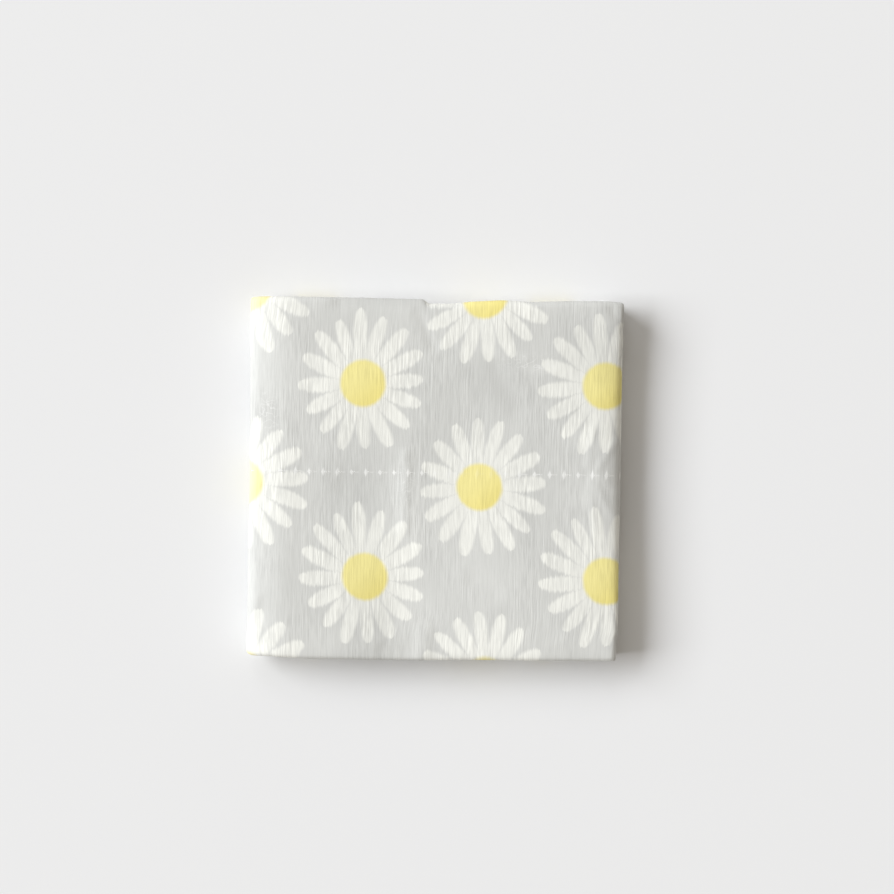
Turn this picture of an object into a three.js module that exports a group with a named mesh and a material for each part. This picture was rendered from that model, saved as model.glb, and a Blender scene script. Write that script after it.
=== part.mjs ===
// Face cloth of printed cotton gauze, folded in thirds both ways into a square pack.
// Millimetres. +X runs from the pack's left fold to its right fold, +Y to its back edge, +Z up.
// The origin is on the surface that the pack rests on, below the middle of the pack.

import * as THREE from "three";

// The sheet laid flat, and the pack that it is folded into
const clothWidth = 296;
const clothDepth = 284;
const clothThickness = 1.0;
const layerGap = 0.3;
const packWidth = 100.8;
const packDepth = 97.4;
const seamY = 1.6; // the cloth's middle seam, which the first fold leaves just behind centre
const innerHemRoom = 3; // the inner third's hem stops this far short of the right fold
const leftSag = 2.8; // how far the left fold sinks where no under third holds it up

// First fold: front and back thirds over the middle third, the print outside
const stripThickness = 3 * clothThickness + 2 * layerGap;
const middleLayer = clothThickness / 2;
const firstFlapLayer = middleLayer + clothThickness + layerGap;
const secondFlapLayer = firstFlapLayer + clothThickness + layerGap;
const frontBendRadius = (firstFlapLayer - middleLayer) / 2;
const backBendRadius = (secondFlapLayer - middleLayer) / 2;

// Second fold: the strip's inner third, top third and under third
const packHeight = 3 * stripThickness + 2 * layerGap;
const innerThirdFloor = stripThickness + layerGap;
const leftRadius = (packHeight - innerThirdFloor) / 2;
const rightRadius = 4.2; // each of the two rounded turns of the right side
const rightWall = packHeight - 2 * rightRadius;

const halfWidth = packWidth / 2;
const halfDepth = packDepth / 2;
const leftTurn = -halfWidth + leftRadius;
const rightTurn = halfWidth - rightRadius;
const innerHem = halfWidth - stripThickness - innerHemRoom;
const innerThird = innerHem - leftTurn;
const topThird = rightTurn - leftTurn;
const foldLength = Math.PI * (leftRadius + rightRadius) + rightWall;
const underThird = clothWidth - innerThird - topThird - foldLength;
const underHem = rightTurn - underThird;
const sagReach = underHem + halfWidth;
const sagHeight = (innerThirdFloor + packHeight) / 2;

// Where the flat stretches are divided, so that neighbouring layers bend at the same places
const gridX = [-42.5, -38, -30, -20, -12, -7, -3.5, -2, 4, 9, 17, 26, 36, 43];
const gridY = [-42.5, -41, -28, -14, 0, 12, 24, 38];
const shortestStep = 0.8;

// How far each edge of the pack stands out of its plain rectangle, place by place
const backEdge = [
  { x: -50, out: 0.3 },
  { x: -46, out: 0.3 },
  { x: -20, out: 0.2 },
  { x: -3.5, out: 0.0 },
  { x: -2, out: -1.15 },
  { x: 4, out: -1.1 },
  { x: 9, out: -0.5 },
  { x: 17, out: 0.0 },
  { x: 26, out: -0.35 },
  { x: 36, out: 0.05 },
  { x: 46, out: 0.1 },
  { x: 50, out: -0.15 },
];
const frontEdge = [
  { x: -50, out: -0.1 },
  { x: -44, out: -0.1 },
  { x: -34, out: 0.4 },
  { x: -4, out: 0.45 },
  { x: 10, out: 0.1 },
  { x: 34, out: 0.05 },
  { x: 50, out: -0.1 },
];
const leftEdge = [
  { y: -48.4, out: 0.2 },
  { y: -30, out: 0.1 },
  { y: 0, out: 0.05 },
  { y: 48.4, out: 0.3 },
];
const rightEdge = [
  { y: -48.4, out: -0.85 },
  { y: -42.5, out: -0.8 },
  { y: -41, out: -0.45 },
  { y: -20, out: -0.4 },
  { y: 0, out: -0.15 },
  { y: 30, out: -0.1 },
  { y: 48.4, out: 0.2 },
];
const edgeReach = 24; // how far in from an edge its drift is felt

// Where the stack is pressed down towards its edges, as a share of its height
const leftDrop = { reach: 10, drop: 0.03 };
const frontDrop = { reach: 8, drop: 0.05 };
const backDrop = { reach: 6, drop: 0.03 };
const rightDropReach = 7.5;

// The right fold's upper turn is nearly square, more so in some places. Power 2 is a circle.
const rightFold = [
  { y: -42, drop: 0.01, power: 7.5 },
  { y: -20, drop: 0.05, power: 6.0 },
  { y: 0, drop: 0.12, power: 4.5 },
  { y: 30, drop: 0.1, power: 4.5 },
  { y: 42, drop: 0.03, power: 6.5 },
];

// Corners that are pulled out towards a square, seen from above. Power 2 is a circle.
const backCorner = backBendRadius + clothThickness / 2;
const frontCorner = frontBendRadius + clothThickness / 2;
const squareCorners = [
  { side: -1, end: 1, radius: backCorner, power: 8 },
  { side: 1, end: 1, radius: backCorner, power: 4 },
  { side: 1, end: -1, radius: frontCorner, power: 8 },
];

// Soft rises and hollows of the stack, each as a share of the height below it
const swells = [
  { x: -26, y: 30, reachX: 20, reachY: 16, rise: 0.02 },
  { x: -7, y: -2, reachX: 5, reachY: 12, rise: 0.025 },
  { x: 12, y: 16, reachX: 14, reachY: 14, rise: -0.03 },
  { x: 24, y: 34, reachX: 13, reachY: 14, rise: 0.022 },
  { x: -7, y: -28, reachX: 10, reachY: 14, rise: -0.03 },
  { x: 28, y: -24, reachX: 20, reachY: 16, rise: 0.045 },
  { x: -28, y: -8, reachX: 14, reachY: 9, rise: -0.026 },
];
const underTurn = THREE.MathUtils.degToRad(0.2); // the under third lies a little askew

function unitAt(angle) {
  return new THREE.Vector2(Math.cos(angle), Math.sin(angle));
}

// Walks along folds drawn on two axes. A row is a straight run or a bend about a radius.
// Every station keeps its point and the angle at which the path goes on.
function walkFolds(start, startAngle, rows, gridLines) {
  const stations = [{ point: start, angle: startAngle }];
  for (const row of rows) {
    const { point, angle } = stations.at(-1);
    if (row.run) {
      const ahead = unitAt(angle);
      const cuts = gridLines
        .map((line) => (line - point.x) / ahead.x)
        .filter((cut) => cut > shortestStep && cut < row.run - shortestStep)
        .sort((near, far) => near - far);
      for (const distance of [...cuts, row.run]) {
        stations.push({ point: point.clone().addScaledVector(ahead, distance), angle });
      }
    } else {
      const turn = THREE.MathUtils.degToRad(row.turn);
      const quarter = (Math.sign(turn) * Math.PI) / 2;
      const centre = point.clone().addScaledVector(unitAt(angle + quarter), row.radius);
      for (let step = 1; step <= row.steps; step += 1) {
        const turned = angle + (turn * step) / row.steps;
        const spoke = unitAt(turned - quarter);
        stations.push({
          point: centre.clone().addScaledVector(spoke, row.radius),
          angle: turned,
        });
      }
    }
  }
  return stations;
}

// First fold, drawn in depth and in distance below the printed face of the middle third
function firstFoldStations() {
  const frontTurn = -halfDepth + clothThickness / 2 + frontBendRadius;
  const backTurn = halfDepth - clothThickness / 2 - backBendRadius;
  const firstFlap = clothDepth / 2 - (seamY - frontTurn) - Math.PI * frontBendRadius;
  const secondFlap = clothDepth / 2 - (backTurn - seamY) - Math.PI * backBendRadius;
  const rows = [
    { section: "first flap", run: firstFlap },
    { section: "front bend", radius: frontBendRadius, turn: 180, steps: 4 },
    { section: "middle third", run: backTurn - frontTurn },
    { section: "back bend", radius: backBendRadius, turn: 180, steps: 6 },
    { section: "second flap", run: secondFlap },
  ];
  const start = new THREE.Vector2(frontTurn + firstFlap, firstFlapLayer);
  return walkFolds(start, Math.PI, rows, gridY);
}

// Second fold, drawn in width and height along the strip's outer face
function secondFoldStations() {
  const rows = [
    { section: "inner third", run: innerThird },
    { section: "left fold", radius: leftRadius, turn: -180, steps: 8 },
    { section: "top third", run: topThird },
    { section: "right fold, above", radius: rightRadius, turn: -90, steps: 4 },
    { section: "right wall", run: rightWall },
    { section: "right fold, below", radius: rightRadius, turn: -90, steps: 4 },
    { section: "under third", run: underThird },
  ];
  const start = new THREE.Vector2(innerHem, innerThirdFloor);
  return walkFolds(start, Math.PI, rows, gridX);
}

// The value of a table between its two nearest rows
function valueAt(table, axis, place, column) {
  const next = table.findIndex((row) => row[axis] >= place);
  if (next === -1) return table.at(-1)[column];
  if (next === 0) return table[0][column];
  const [low, high] = [table[next - 1], table[next]];
  const share = (place - low[axis]) / (high[axis] - low[axis]);
  return THREE.MathUtils.lerp(low[column], high[column], share);
}

// How much further than on a circle a rounded square of this power lies, in one direction
function squareShare(first, second, power) {
  const away = Math.hypot(first, second);
  if (away === 0) return 0;
  return ((first / away) ** power + (second / away) ** power) ** (-1 / power) - 1;
}

// Widens the right fold's upper turn, and the pack's corners, towards a square
function squareUp(point) {
  const over = Math.max(point.x - rightTurn, 0);
  const above = Math.max(point.z - packHeight + rightRadius, 0);
  const turnShare = squareShare(over, above, valueAt(rightFold, "y", point.y, "power"));
  point.x += over * turnShare;
  point.z += above * turnShare;
  for (const { side, end, radius, power } of squareCorners) {
    const outX = Math.max(side * point.x - halfWidth + radius, 0);
    const outY = Math.max(end * point.y - halfDepth + radius, 0);
    const share = squareShare(outX, outY, power);
    point.x += side * outX * share;
    point.y += end * outY * share;
  }
}

// The share of its height that a point keeps, so far in from a pressed edge
function keptNear(inward, { reach, drop }) {
  return 1 - drop * THREE.MathUtils.clamp(1 - inward / reach, 0, 1) ** 2;
}

// The share that it keeps from all four edges
function keptAt({ x, y }) {
  const rightDrop = { reach: rightDropReach, drop: valueAt(rightFold, "y", y, "drop") };
  const sides = keptNear(x + halfWidth, leftDrop) * keptNear(halfWidth - x, rightDrop);
  return sides * keptNear(y + halfDepth, frontDrop) * keptNear(halfDepth - y, backDrop);
}

// Bends the left fold down past the under third's hem, where nothing holds it up
function bendDown(point, x) {
  const share = THREE.MathUtils.clamp((underHem - x) / sagReach, 0, 1);
  const tilt = Math.atan((2 * leftSag * share) / sagReach);
  const above = point.z - sagHeight;
  point.x -= above * Math.sin(tilt);
  point.z = sagHeight + above * Math.cos(tilt) - leftSag * share ** 2;
}

// Moves a point of the plain pack to where the cloth really lies
function settle(point) {
  squareUp(point);
  const { x, y, z } = point;
  const kept = keptAt(point);
  const nearEdge = (place, half) => THREE.MathUtils.smoothstep(place, half - edgeReach, half);
  point.y += valueAt(backEdge, "x", x, "out") * nearEdge(y, halfDepth);
  point.y -= valueAt(frontEdge, "x", x, "out") * nearEdge(-y, halfDepth);
  point.x += valueAt(rightEdge, "y", y, "out") * nearEdge(x, halfWidth);
  point.x -= valueAt(leftEdge, "y", y, "out") * nearEdge(-x, halfWidth);

  let rise = 0;
  for (const swell of swells) {
    const across = (x - swell.x) / swell.reachX;
    const along = (y - swell.y) / swell.reachY;
    rise += swell.rise * Math.exp(-across * across - along * along);
  }
  point.z = z * kept * (1 + rise);
  bendDown(point, x);

  const turn = underTurn * (1 - z / packHeight);
  const turned = new THREE.Vector2(point.x, point.y).rotateAround(new THREE.Vector2(), turn);
  point.x = turned.x;
  point.y = turned.y;
  return point;
}

// The sheet as one closed solid: a printed face, a back face, and hems that join them
function foldedSheet() {
  const across = secondFoldStations();
  const along = firstFoldStations();
  const positions = [];
  const facePoints = along.length * across.length;
  for (const side of [-1, 1]) {
    for (const { point: outer, angle } of across) {
      const inward = unitAt(angle - Math.PI / 2);
      for (const layer of along) {
        const normal = unitAt(layer.angle + Math.PI / 2);
        const spot = layer.point.clone().addScaledVector(normal, (side * clothThickness) / 2);
        const surface = outer.clone().addScaledVector(inward, spot.y);
        const point = settle(new THREE.Vector3(surface.x, spot.x, surface.y));
        positions.push(point.x, point.y, point.z);
      }
    }
  }

  const printed = (i, j) => i * along.length + j;
  const back = (i, j) => facePoints + printed(i, j);
  const indices = [];
  const addQuad = (a, b, c, d) => indices.push(a, b, c, a, c, d);
  const lastI = across.length - 1;
  const lastJ = along.length - 1;
  for (let i = 0; i < lastI; i += 1) {
    for (let j = 0; j < lastJ; j += 1) {
      addQuad(printed(i, j), printed(i + 1, j), printed(i + 1, j + 1), printed(i, j + 1));
      addQuad(back(i, j), back(i, j + 1), back(i + 1, j + 1), back(i + 1, j));
    }
    addQuad(back(i, 0), back(i + 1, 0), printed(i + 1, 0), printed(i, 0));
    addQuad(printed(i, lastJ), printed(i + 1, lastJ), back(i + 1, lastJ), back(i, lastJ));
  }
  for (let j = 0; j < lastJ; j += 1) {
    addQuad(printed(0, j), printed(0, j + 1), back(0, j + 1), back(0, j));
    addQuad(back(lastI, j), back(lastI, j + 1), printed(lastI, j + 1), printed(lastI, j));
  }

  const geometry = new THREE.BufferGeometry();
  geometry.setAttribute("position", new THREE.Float32BufferAttribute(positions, 3));
  geometry.setIndex(indices);
  geometry.computeVertexNormals();
  return geometry;
}

// Puts the middle of the pack's footprint on the origin, and its underside at height 0
function standOnOrigin(geometry) {
  geometry.computeBoundingBox();
  const { min, max } = geometry.boundingBox;
  geometry.translate(-(min.x + max.x) / 2, -(min.y + max.y) / 2, -min.z);
  return geometry;
}

const gauze = new THREE.MeshStandardMaterial({
  name: "printed gauze",
  color: 0xcfd0cc,
  roughness: 0.95,
  metalness: 0,
});

const cloth = new THREE.Mesh(standOnOrigin(foldedSheet()), gauze);
cloth.name = "cloth";

const faceCloth = new THREE.Group();
faceCloth.name = "face cloth";
faceCloth.add(cloth);

export default faceCloth;
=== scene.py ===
# Face cloth of printed cotton gauze, folded in thirds both ways and laid on a pale surface.
# Sizes in the dictionaries are millimetres and degrees; meshes are made in metres.
import math

import bpy
import numpy as np
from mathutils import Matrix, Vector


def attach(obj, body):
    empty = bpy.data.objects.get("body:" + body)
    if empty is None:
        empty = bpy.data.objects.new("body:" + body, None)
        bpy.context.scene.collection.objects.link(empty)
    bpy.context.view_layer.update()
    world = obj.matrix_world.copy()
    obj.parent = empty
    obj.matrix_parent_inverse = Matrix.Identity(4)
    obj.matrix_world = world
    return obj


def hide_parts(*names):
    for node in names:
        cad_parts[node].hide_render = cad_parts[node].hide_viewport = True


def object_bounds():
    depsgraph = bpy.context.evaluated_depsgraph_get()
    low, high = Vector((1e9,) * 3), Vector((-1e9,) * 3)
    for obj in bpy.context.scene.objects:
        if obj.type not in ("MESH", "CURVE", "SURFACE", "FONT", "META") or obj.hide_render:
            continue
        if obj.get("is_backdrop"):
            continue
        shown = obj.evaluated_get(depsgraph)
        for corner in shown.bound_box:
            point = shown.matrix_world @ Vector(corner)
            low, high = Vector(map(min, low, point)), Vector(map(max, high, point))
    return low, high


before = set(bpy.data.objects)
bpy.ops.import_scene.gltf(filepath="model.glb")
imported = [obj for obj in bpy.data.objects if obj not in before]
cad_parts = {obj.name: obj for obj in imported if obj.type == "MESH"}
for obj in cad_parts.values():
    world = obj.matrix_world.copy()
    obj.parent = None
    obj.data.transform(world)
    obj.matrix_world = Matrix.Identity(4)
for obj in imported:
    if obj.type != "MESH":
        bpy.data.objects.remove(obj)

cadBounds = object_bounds()
mm = 0.001


# The folded cloth: its sheet, its two folds and how unevenly it lies

cloth = {
    "width": 296,  # the sheet laid flat
    "depth": 284,
    "thickness": 1.0,
    "gap": 0.3,  # air between two layers
    "packWidth": 100.8,
    "packDepth": 97.4,
    "seamAt": 1.6,  # the middle seam lies just behind the middle of the pack
    "innerHemRoom": 3,
    "rightRadius": 4.2,
    "leftSag": 2.8,  # the left fold sinks past the under third's hem
    "hemWidth": 7,
    "hemSwell": 0.1,  # extra thickness on each side of the hem
    "hemNose": 0.35,  # how far the hem's rounded edge stands out
    "hemEase": (0.8, 0.4),  # the hem steps down from this far within its line to this far past it
    "edgeReach": 24,  # how far in from an edge its drift is felt
    "underTurn": 0.2,  # the under third lies a little askew
    "underShrink": 0.006,  # and its layers lie this share further in from front and back
}

# How far each edge of the pack stands out of its plain rectangle, place by place
backEdge = {
    "at": (-50, -46, -20, -3.7, -2.8, 4, 9, 17, 26, 36, 46, 50),
    "out": (0.3, 0.3, 0.2, 0.0, -1.15, -1.1, -0.5, 0.0, -0.35, 0.05, 0.1, -0.15),
}
frontEdge = {
    "at": (-50, -44, -34, -4, 10, 34, 50),
    "out": (-0.1, -0.1, 0.4, 0.45, 0.1, 0.05, -0.1),
}
leftEdge = {
    "at": (-48.4, -30, 0, 48.4),
    "out": (0.2, 0.1, 0.05, 0.3),
}
rightEdge = {
    "at": (-48.4, -42.5, -41, -20, 0, 30, 48.4),
    "out": (-0.85, -0.8, -0.45, -0.4, -0.15, -0.1, 0.2),
}

# Where the stack is pressed down towards its edges, as a share of its height
edgeDrops = {
    "left": {"reach": 10, "drop": 0.03},
    "front": {"reach": 8, "drop": 0.05},
    "back": {"reach": 6, "drop": 0.03},
}

# The right fold is pressed down and nearly square, more so in some places
rightFold = {
    "reach": 7.5,
    "at": (-42, -20, 0, 30, 42),
    "drop": (0.01, 0.06, 0.13, 0.10, 0.03),
    "power": (7.5, 5.0, 4.0, 4.5, 6.5),  # 2 is a circle
}

# Corners that are pulled out towards a square, seen from above
squareCorners = [
    {"side": -1, "end": 1, "radius": 1.8, "power": 8},
    {"side": 1, "end": 1, "radius": 1.8, "power": 4},
    {"side": 1, "end": -1, "radius": 1.15, "power": 8},
]

# Broad rises and hollows of the whole stack, as a share of its height
swells = [
    {"x": -26, "y": 30, "reachX": 20, "reachY": 16, "rise": 0.02},
    {"x": -7, "y": -2, "reachX": 5, "reachY": 12, "rise": 0.025},
    {"x": 12, "y": 16, "reachX": 14, "reachY": 14, "rise": -0.03},
    {"x": 24, "y": 34, "reachX": 13, "reachY": 14, "rise": 0.022},
    {"x": -7, "y": -28, "reachX": 10, "reachY": 14, "rise": -0.03},
    {"x": 28, "y": -24, "reachX": 20, "reachY": 16, "rise": 0.045},
    {"x": -28, "y": -8, "reachX": 14, "reachY": 9, "rise": -0.026},
]

# Soft creases of the top third: each a ridge, or a trough where the rise is below zero
creases = [
    {"from": (-8.2, 6.6), "to": (-8.2, -13.6), "width": 1.5, "rise": 0.26},  # beside the middle
    {"from": (-24, -1), "to": (-13, -2), "width": 3.5, "rise": -0.22},  # hollow before it
    {"from": (-46.6, -32.5), "to": (-49.8, -47.4), "width": 1.2, "rise": 0.3},  # front left ear
    {"from": (-5, 45), "to": (-1, 36), "width": 1.4, "rise": -0.2},  # down from the notch
    {"from": (-26, 48.5), "to": (-4.5, 48.5), "width": 2.2, "rise": -0.7},  # band left of the notch
    {"from": (16, 30), "to": (22, 19), "width": 2.6, "rise": -0.2},
    {"from": (11, -27), "to": (17, -30), "width": 2.4, "rise": -0.16},
    {"from": (-13, -46), "to": (-8, -47), "width": 2.4, "rise": -0.4},  # at the front edge
    {"from": (-2.5, -41), "to": (-3, -48), "width": 2.2, "rise": 0.3},
    {"from": (44, 3), "to": (48.5, 11), "width": 1.0, "rise": 0.16},  # fan at the seam's end
    {"from": (44.5, 1), "to": (49.5, -3), "width": 0.9, "rise": 0.18},
    {"from": (43.5, -1), "to": (48.5, -10), "width": 1.0, "rise": 0.18},
    {"from": (41.5, 4), "to": (42.5, 14), "width": 0.9, "rise": 0.14},
    {"from": (41.8, 0), "to": (43.6, -14), "width": 1.0, "rise": 0.14},
    {"from": (47, 46.5), "to": (50, 41), "width": 1.2, "rise": -0.28},  # back right corner
    {"from": (-45.5, 20.5), "to": (-45, 14.5), "width": 1.2, "rise": 0.12},
    {"from": (17, 34.4), "to": (24, 32.6), "width": 0.9, "rise": 0.12},
    {"from": (24, 32.6), "to": (31.5, 29), "width": 0.9, "rise": 0.12},
]
creaseDepth = 2.2  # a crease fades over this distance into the stack
creaseEnds = {"left": (-54, -50), "right": (52, 56)}  # and past the folds, between these

# Small unevenness of the gauze all over: wide and narrow, longer along the ribs
crinkle = [
    {"across": 11, "along": 26, "rise": 0.07, "seed": 3},
    {"across": 4.2, "along": 12, "rise": 0.02, "seed": 8},
    {"across": 1.9, "along": 6.5, "rise": 0.007, "seed": 21},
]
crinkleStart = (40, 20)  # which part of the noise lies at the middle, in waves
foldDrift = {"wave": 17, "out": 0.28, "seed": 5}  # each third's folds wander by this much

# Where folding pulled the cloth out of square, and the print and ribs with it
pulls = [
    {"x": -18, "y": 26, "reach": 16, "right": -0.5, "back": -0.6},
    {"x": -18, "y": -26, "reach": 16, "right": 0.0, "back": -0.6},
    {"x": 13, "y": -2, "reach": 16, "right": -0.6, "back": 0.0},
    {"x": 46, "y": 25, "reach": 15, "right": 0.6, "back": 0.0},
    {"x": 46, "y": -27, "reach": 15, "right": 0.8, "back": -0.6},
    {"x": -50, "y": -2, "reach": 14, "right": 0.3, "back": 0.2},
    {"x": -48, "y": 48, "reach": 9, "right": 1.4, "back": 0.2},
    {"x": -4, "y": -47, "reach": 9, "right": -0.8, "back": 1.9},
    {"x": 27, "y": -47, "reach": 7, "right": -0.6, "back": -1.2},
]

# Painted light and shade: the cloth's colour is lighter where the share is above zero and darker where it
# is below, standing in for slopes that catch or turn from the light
paintedLightAndShade = [
    {"x": -36, "y": 0, "reachX": 8, "reachY": 60, "share": 0.025},
    {"x": -20, "y": -5, "reachX": 8, "reachY": 16, "share": -0.07},
    {"x": -7, "y": -18, "reachX": 5.5, "reachY": 25, "share": 0.09},
    {"x": 22, "y": -26, "reachX": 12, "reachY": 13, "share": 0.04},
    {"x": 10, "y": -45, "reachX": 44, "reachY": 4.5, "share": 0.06},
    {"x": -16, "y": -38, "reachX": 7, "reachY": 8, "share": -0.11},
    {"x": -18, "y": -27, "reachX": 6, "reachY": 6, "share": -0.05},
    {"x": 43, "y": 37, "reachX": 10, "reachY": 10, "share": -0.11},
    {"x": 38, "y": 20, "reachX": 7, "reachY": 5, "share": -0.05},
    {"x": 20, "y": 24, "reachX": 9, "reachY": 9, "share": -0.08},
    {"x": 30, "y": -6, "reachX": 8, "reachY": 14, "share": -0.05},
    {"x": 44, "y": -37, "reachX": 5, "reachY": 6, "share": -0.06},
    {"x": -10, "y": 24, "reachX": 7, "reachY": 14, "share": 0.02},
    # painted shade on the band left of the notch
    {"x": -12, "y": 49, "reachX": 13, "reachY": 2.6, "share": -0.11},
    # painted highlights along two small ridges
    {"x": 20, "y": 33.4, "reachX": 4, "reachY": 1.2, "share": 0.07},
    {"x": 28, "y": 30, "reachX": 4, "reachY": 1.3, "share": 0.07},
]

# Painted highlights where fine crinkles of the gauze catch the light, drawn as thin pale lines
crinkleHighlightPatches = [
    {"x": -44.5, "y": 17.5, "reachX": 2.2, "reachY": 4.6, "share": 1},
    {"x": 26, "y": 31.5, "reachX": 7, "reachY": 2.2, "share": 1},
    {"x": -8, "y": -3, "reachX": 2.2, "reachY": 7, "share": 0.6},
]

# Where the ribs are worn smoother
smoothed = [
    {"x": 13, "y": -27, "reachX": 17, "reachY": 9, "share": 0.35},
    {"x": 30, "y": -2, "reachX": 9, "reachY": 6, "share": 0.15},
]


def smoothStep(value, low, high):
    share = np.clip((value - low) / (high - low), 0, 1)
    return share * share * (3 - 2 * share)


def softNoise(u, v, seed):  # smooth noise from -1 to 1, one wave to a unit
    size = 64
    grid = np.random.default_rng(seed).uniform(-1, 1, (size, size))
    column, row = np.floor(u).astype(int), np.floor(v).astype(int)
    shareU, shareV = smoothStep(u - column, 0, 1), smoothStep(v - row, 0, 1)

    def knot(right, up):
        return grid[(column + right) % size, (row + up) % size]

    low = knot(0, 0) * (1 - shareU) + knot(1, 0) * shareU
    high = knot(0, 1) * (1 - shareU) + knot(1, 1) * shareU
    return low * (1 - shareV) + high * shareV


def readTable(table, place, column="out"):
    return np.interp(place, table["at"], table[column])


def patchAt(row, x, y):  # full at the patch's middle, and gone past its reach
    across, along = (x - row["x"]) / row["reachX"], (y - row["y"]) / row["reachY"]
    return np.exp(-across * across - along * along)


# A fold path is drawn on two axes from runs and bends; lengths along it are cloth lengths

def makePath(start, heading, rows):
    parts = []
    point, angle, reached = np.array(start, float), math.radians(heading), 0.0
    for row in rows:
        turn = math.radians(row.get("turn", 0))
        length = abs(turn) * row["radius"] if turn else row["run"]
        part = {"name": row["name"], "from": reached, "length": length, "steps": row["steps"]}
        part.update(point=point, angle=angle, bend=turn / length)
        parts.append(part)
        point = partPoint(part, np.array(length))[0]
        angle += turn
        reached += length
    return parts


def partPoint(part, distance):
    angle, bend = part["angle"], part["bend"]
    heading = angle + bend * distance
    if bend:
        move = (np.sin(heading) - math.sin(angle), math.cos(angle) - np.cos(heading))
        move = np.stack(move, -1) / bend
    else:
        move = np.stack((math.cos(angle) * distance, math.sin(angle) * distance), -1)
    return part["point"] + move, heading


def pathAt(parts, distance):
    distance = np.asarray(distance, float)
    point = np.zeros(distance.shape + (2,))
    heading = np.zeros(distance.shape)
    for number, part in enumerate(parts):
        here = distance >= part["from"] if number else np.full(distance.shape, True)
        moved, turned = partPoint(part, distance - part["from"])
        point[here], heading[here] = moved[here], turned[here]
    return point, heading


def stationsOf(parts):
    cuts = [np.linspace(0, p["length"], p["steps"] + 1)[:-1] + p["from"] for p in parts]
    last = parts[-1]
    return np.append(np.concatenate(cuts), last["from"] + last["length"])


def partNamed(parts, name):
    return next(part for part in parts if part["name"] == name)


thickness, gap = cloth["thickness"], cloth["gap"]
stripThickness = 3 * thickness + 2 * gap
packHeight = 3 * stripThickness + 2 * gap
halfWidth, halfDepth = cloth["packWidth"] / 2, cloth["packDepth"] / 2
layerPitch = thickness + gap
middleLayer = thickness / 2


# First fold, in depth and in distance below the printed face of the middle third
def foldDepth():
    frontRadius, backRadius = layerPitch / 2, layerPitch
    frontTurn = -halfDepth + middleLayer + frontRadius
    backTurn = halfDepth - middleLayer - backRadius
    halfCloth = cloth["depth"] / 2
    firstFlap = halfCloth - (cloth["seamAt"] - frontTurn) - math.pi * frontRadius
    secondFlap = halfCloth - (backTurn - cloth["seamAt"]) - math.pi * backRadius
    rows = [
        {"name": "first flap", "run": firstFlap, "steps": 26},
        {"name": "front bend", "radius": frontRadius, "turn": 180, "steps": 8},
        {"name": "middle third", "run": backTurn - frontTurn, "steps": 122},
        {"name": "back bend", "radius": backRadius, "turn": 180, "steps": 10},
        {"name": "second flap", "run": secondFlap, "steps": 26},
    ]
    return makePath((frontTurn + firstFlap, middleLayer + layerPitch), 180, rows)


# Second fold, in width and height along the strip's outer face
def foldWidth():
    innerFloor = stripThickness + gap
    leftRadius, rightRadius = (packHeight - innerFloor) / 2, cloth["rightRadius"]
    rightWall = packHeight - 2 * rightRadius
    leftTurn, rightTurn = -halfWidth + leftRadius, halfWidth - rightRadius
    innerHem = halfWidth - stripThickness - cloth["innerHemRoom"]
    innerThird, topThird = innerHem - leftTurn, rightTurn - leftTurn
    folds = math.pi * (leftRadius + rightRadius) + rightWall
    underThird = cloth["width"] - innerThird - topThird - folds
    rows = [
        {"name": "inner third", "run": innerThird, "steps": 30},
        {"name": "left fold", "radius": leftRadius, "turn": -180, "steps": 18},
        {"name": "top third", "run": topThird, "steps": 122},
        {"name": "right fold above", "radius": rightRadius, "turn": -90, "steps": 11},
        {"name": "right wall", "run": rightWall, "steps": 2},
        {"name": "right fold below", "radius": rightRadius, "turn": -90, "steps": 10},
        {"name": "under third", "run": underThird, "steps": 36},
    ]
    return makePath((innerHem, innerFloor), 180, rows)


widthPath, depthPath = foldWidth(), foldDepth()
topThird, middleThird = partNamed(widthPath, "top third"), partNamed(depthPath, "middle third")
underThird = partNamed(widthPath, "under third")
underHem = underThird["point"][0] - underThird["length"]
sagReach = underHem + halfWidth  # the left fold bends down past the under third's hem
sagHeight = (stripThickness + gap + packHeight) / 2

# Added to lengths along the two paths, these give the cloth's own x and y
placeX = topThird["point"][0] - topThird["from"]
placeY = middleThird["point"][0] - middleThird["from"]


def pressEdges(x, y, z):
    inward = {"left": x + halfWidth, "front": y + halfDepth, "back": halfDepth - y}
    for side, shape in edgeDrops.items():
        share = np.clip(1 - inward[side] / shape["reach"], 0, 1)
        z = z * (1 - shape["drop"] * share * share)
    share = np.clip(1 - (halfWidth - x) / rightFold["reach"], 0, 1)
    return z * (1 - readTable(rightFold, y, "drop") * share * share)


def squareShare(first, second, power):  # how much further out than a circle a rounded square lies
    away = np.maximum(np.hypot(first, second), 1e-6)
    return ((first / away) ** power + (second / away) ** power + (away < 1e-5)) ** (-1 / power) - 1


def squareUp(x, y, z):  # widens the right fold's upper turn, and the corners, towards a square
    radius = cloth["rightRadius"]
    over = np.maximum(x - halfWidth + radius, 0)
    above = np.maximum(z - packHeight + radius, 0)
    share = squareShare(over, above, readTable(rightFold, y, "power"))
    x, z = x + over * share, z + above * share
    for corner in squareCorners:
        outX = np.maximum(corner["side"] * x - halfWidth + corner["radius"], 0)
        outY = np.maximum(corner["end"] * y - halfDepth + corner["radius"], 0)
        share = squareShare(outX, outY, corner["power"])
        x, y = x + corner["side"] * outX * share, y + corner["end"] * outY * share
    return x, y, z


def creaseRise(x, y):
    rise = np.zeros(np.broadcast(x, y).shape)
    for crease in creases:
        start, end = np.array(crease["from"], float), np.array(crease["to"], float)
        step = end - start
        share = ((x - start[0]) * step[0] + (y - start[1]) * step[1]) / (step @ step)
        share = np.clip(share, 0, 1)
        away = np.hypot(x - start[0] - share * step[0], y - start[1] - share * step[1])
        rise += crease["rise"] * np.exp(-((away / crease["width"]) ** 2))
    return rise


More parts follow.
